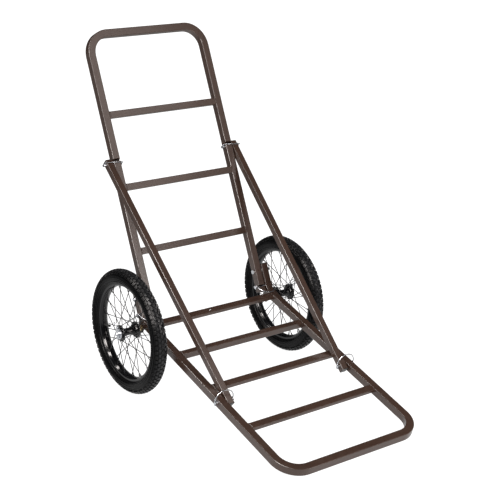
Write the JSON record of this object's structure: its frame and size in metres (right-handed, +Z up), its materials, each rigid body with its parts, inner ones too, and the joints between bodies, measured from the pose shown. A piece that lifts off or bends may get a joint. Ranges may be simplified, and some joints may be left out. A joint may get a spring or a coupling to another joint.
{
  "type": "folding game cart",
  "caption": "Two-wheeled folding game cart: bent square-tube deck and leaning handle held open by diagonal braces and wire lock pins, on spoked wheels.",
  "frame": {"origin": "on the ground, under the middle of the cart's bounding box, with the handle up", "axes": "+Z up, the nose points to -Y, the handle leans to +Y, X runs along the axles"},
  "size_m": [0.725, 1.1714, 1.0903],
  "materials": {
    "frame_paint": "dark brown powder coat, smooth and half gloss",
    "end_caps": "black moulded plastic",
    "zinc_hardware": "bright zinc-plated steel",
    "yellow_zinc": "yellow-passivated zinc-plated steel",
    "black_wheel_metal": "gloss black paint",
    "tyre_rubber": "matt black tyre rubber",
    "inner_rubber": "black butyl rubber"
  },
  "bodies": {
    "deck": {"deck_rail": "frame_paint", "deck_rung_1": "frame_paint", "deck_rung_2": "frame_paint", "deck_rung_3": "frame_paint", "deck_rung_4": "frame_paint", "rung_rivet": "zinc_hardware", "upright_caps": "end_caps", "axle_hanger_left": "frame_paint", "axle_hanger_right": "frame_paint", "axle_left": "zinc_hardware", "axle_right": "zinc_hardware", "axle_nuts": "yellow_zinc", "axle_washers": "zinc_hardware", "linch_pins": "zinc_hardware", "pivot_bolts": "zinc_hardware", "pivot_nuts": "zinc_hardware", "pivot_spacers": "zinc_hardware", "lock_pin_base_left": "zinc_hardware", "lock_pin_base_right": "zinc_hardware"},
    "handle": {"handle_tube": "frame_paint", "handle_rung_1": "frame_paint", "handle_rung_2": "frame_paint", "handle_rung_3": "frame_paint", "leg_caps": "end_caps"},
    "brace_left": {"brace_left": "frame_paint", "brace_caps_left": "end_caps", "lock_pin_top_left": "zinc_hardware", "lock_pin_bottom_left": "zinc_hardware"},
    "wheel_left": {"tyre_left": "tyre_rubber", "inner_tube_left": "inner_rubber", "rim_left": "black_wheel_metal", "spokes_left": "black_wheel_metal", "nipples_left": "black_wheel_metal", "hub_left": "black_wheel_metal", "bearings_left": "zinc_hardware", "valve_left": "inner_rubber"},
    "linch_ring_left": {"linch_ring_left": "zinc_hardware"},
    "bail_base_left": {"bail_base_left": "zinc_hardware"},
    "bail_top_left": {"bail_top_left": "zinc_hardware"},
    "bail_bottom_left": {"bail_bottom_left": "zinc_hardware"},
    "brace_right": {"brace_right": "frame_paint", "brace_caps_right": "end_caps", "lock_pin_top_right": "zinc_hardware", "lock_pin_bottom_right": "zinc_hardware"},
    "wheel_right": {"tyre_right": "tyre_rubber", "inner_tube_right": "inner_rubber", "rim_right": "black_wheel_metal", "spokes_right": "black_wheel_metal", "nipples_right": "black_wheel_metal", "hub_right": "black_wheel_metal", "bearings_right": "zinc_hardware", "valve_right": "inner_rubber"},
    "linch_ring_right": {"linch_ring_right": "zinc_hardware"},
    "bail_base_right": {"bail_base_right": "zinc_hardware"},
    "bail_top_right": {"bail_top_right": "zinc_hardware"},
    "bail_bottom_right": {"bail_bottom_right": "zinc_hardware"}
  },
  "joints": [
    {"name": "handle_fold", "type": "hinge", "parent": "deck", "child": "handle", "pos_m": [0, 0.20886, 0.28988], "axis": [1, 0, 0], "range_deg": [0, 127]},
    {"name": "brace_fold_left", "type": "hinge", "parent": "deck", "child": "brace_left", "pos_m": [0, -0.24304, 0.10736], "axis": [1, 0, 0], "range_deg": [0, 142.5]},
    {"name": "brace_fold_right", "type": "hinge", "parent": "deck", "child": "brace_right", "pos_m": [0, -0.24304, 0.10736], "axis": [1, 0, 0], "range_deg": [0, 142.5]},
    {"name": "wheel_spin_left", "type": "hinge", "parent": "deck", "child": "wheel_left", "pos_m": [-0.312, 0.17519, 0.2025], "axis": [1, 0, 0], "continuous": true},
    {"name": "wheel_spin_right", "type": "hinge", "parent": "deck", "child": "wheel_right", "pos_m": [0.312, 0.17519, 0.2025], "axis": [1, 0, 0], "continuous": true},
    {"name": "linch_ring_swing_left", "type": "hinge", "parent": "deck", "child": "linch_ring_left", "pos_m": [-0.352, 0.17519, 0.2235], "axis": [0, -1, 0], "range_deg": [0, 125]},
    {"name": "linch_ring_swing_right", "type": "hinge", "parent": "deck", "child": "linch_ring_right", "pos_m": [0.352, 0.17519, 0.2235], "axis": [0, 1, 0], "range_deg": [0, 125]},
    {"name": "bail_swing_top_left", "type": "hinge", "parent": "brace_left", "child": "bail_top_left", "pos_m": [-0.2631, 0.3921, 0.68826], "axis": [0, -0.4384, -0.8988], "range_deg": [0, 100]},
    {"name": "bail_swing_bottom_left", "type": "hinge", "parent": "brace_left", "child": "bail_bottom_left", "pos_m": [-0.2678, -0.24304, 0.10736], "axis": [0, -0.9703, -0.2419], "range_deg": [0, 169.5]},
    {"name": "bail_swing_base_left", "type": "hinge", "parent": "deck", "child": "bail_base_left", "pos_m": [-0.2678, 0.18671, 0.24173], "axis": [0, 0.342, -0.9397], "range_deg": [0, 12]},
    {"name": "bail_swing_top_right", "type": "hinge", "parent": "brace_right", "child": "bail_top_right", "pos_m": [0.2035, 0.3921, 0.68826], "axis": [0, -0.4384, -0.8988], "range_deg": [0, 100]},
    {"name": "bail_swing_bottom_right", "type": "hinge", "parent": "brace_right", "child": "bail_bottom_right", "pos_m": [0.2078, -0.24304, 0.10736], "axis": [0, -0.9703, -0.2419], "range_deg": [0, 169.5]},
    {"name": "bail_swing_base_right", "type": "hinge", "parent": "deck", "child": "bail_base_right", "pos_m": [0.2035, 0.18671, 0.24173], "axis": [0, 0.342, -0.9397], "range_deg": [0, 10]}
  ],
  "couplings": [
    {"joint": "brace_fold_left", "follows": "handle_fold", "ratio": 1.118},
    {"joint": "bail_swing_bottom_left", "follows": "handle_fold", "ratio": 1.33},
    {"joint": "brace_fold_right", "follows": "handle_fold", "ratio": 1.118},
    {"joint": "bail_swing_bottom_right", "follows": "handle_fold", "ratio": 1.33}
  ]
}
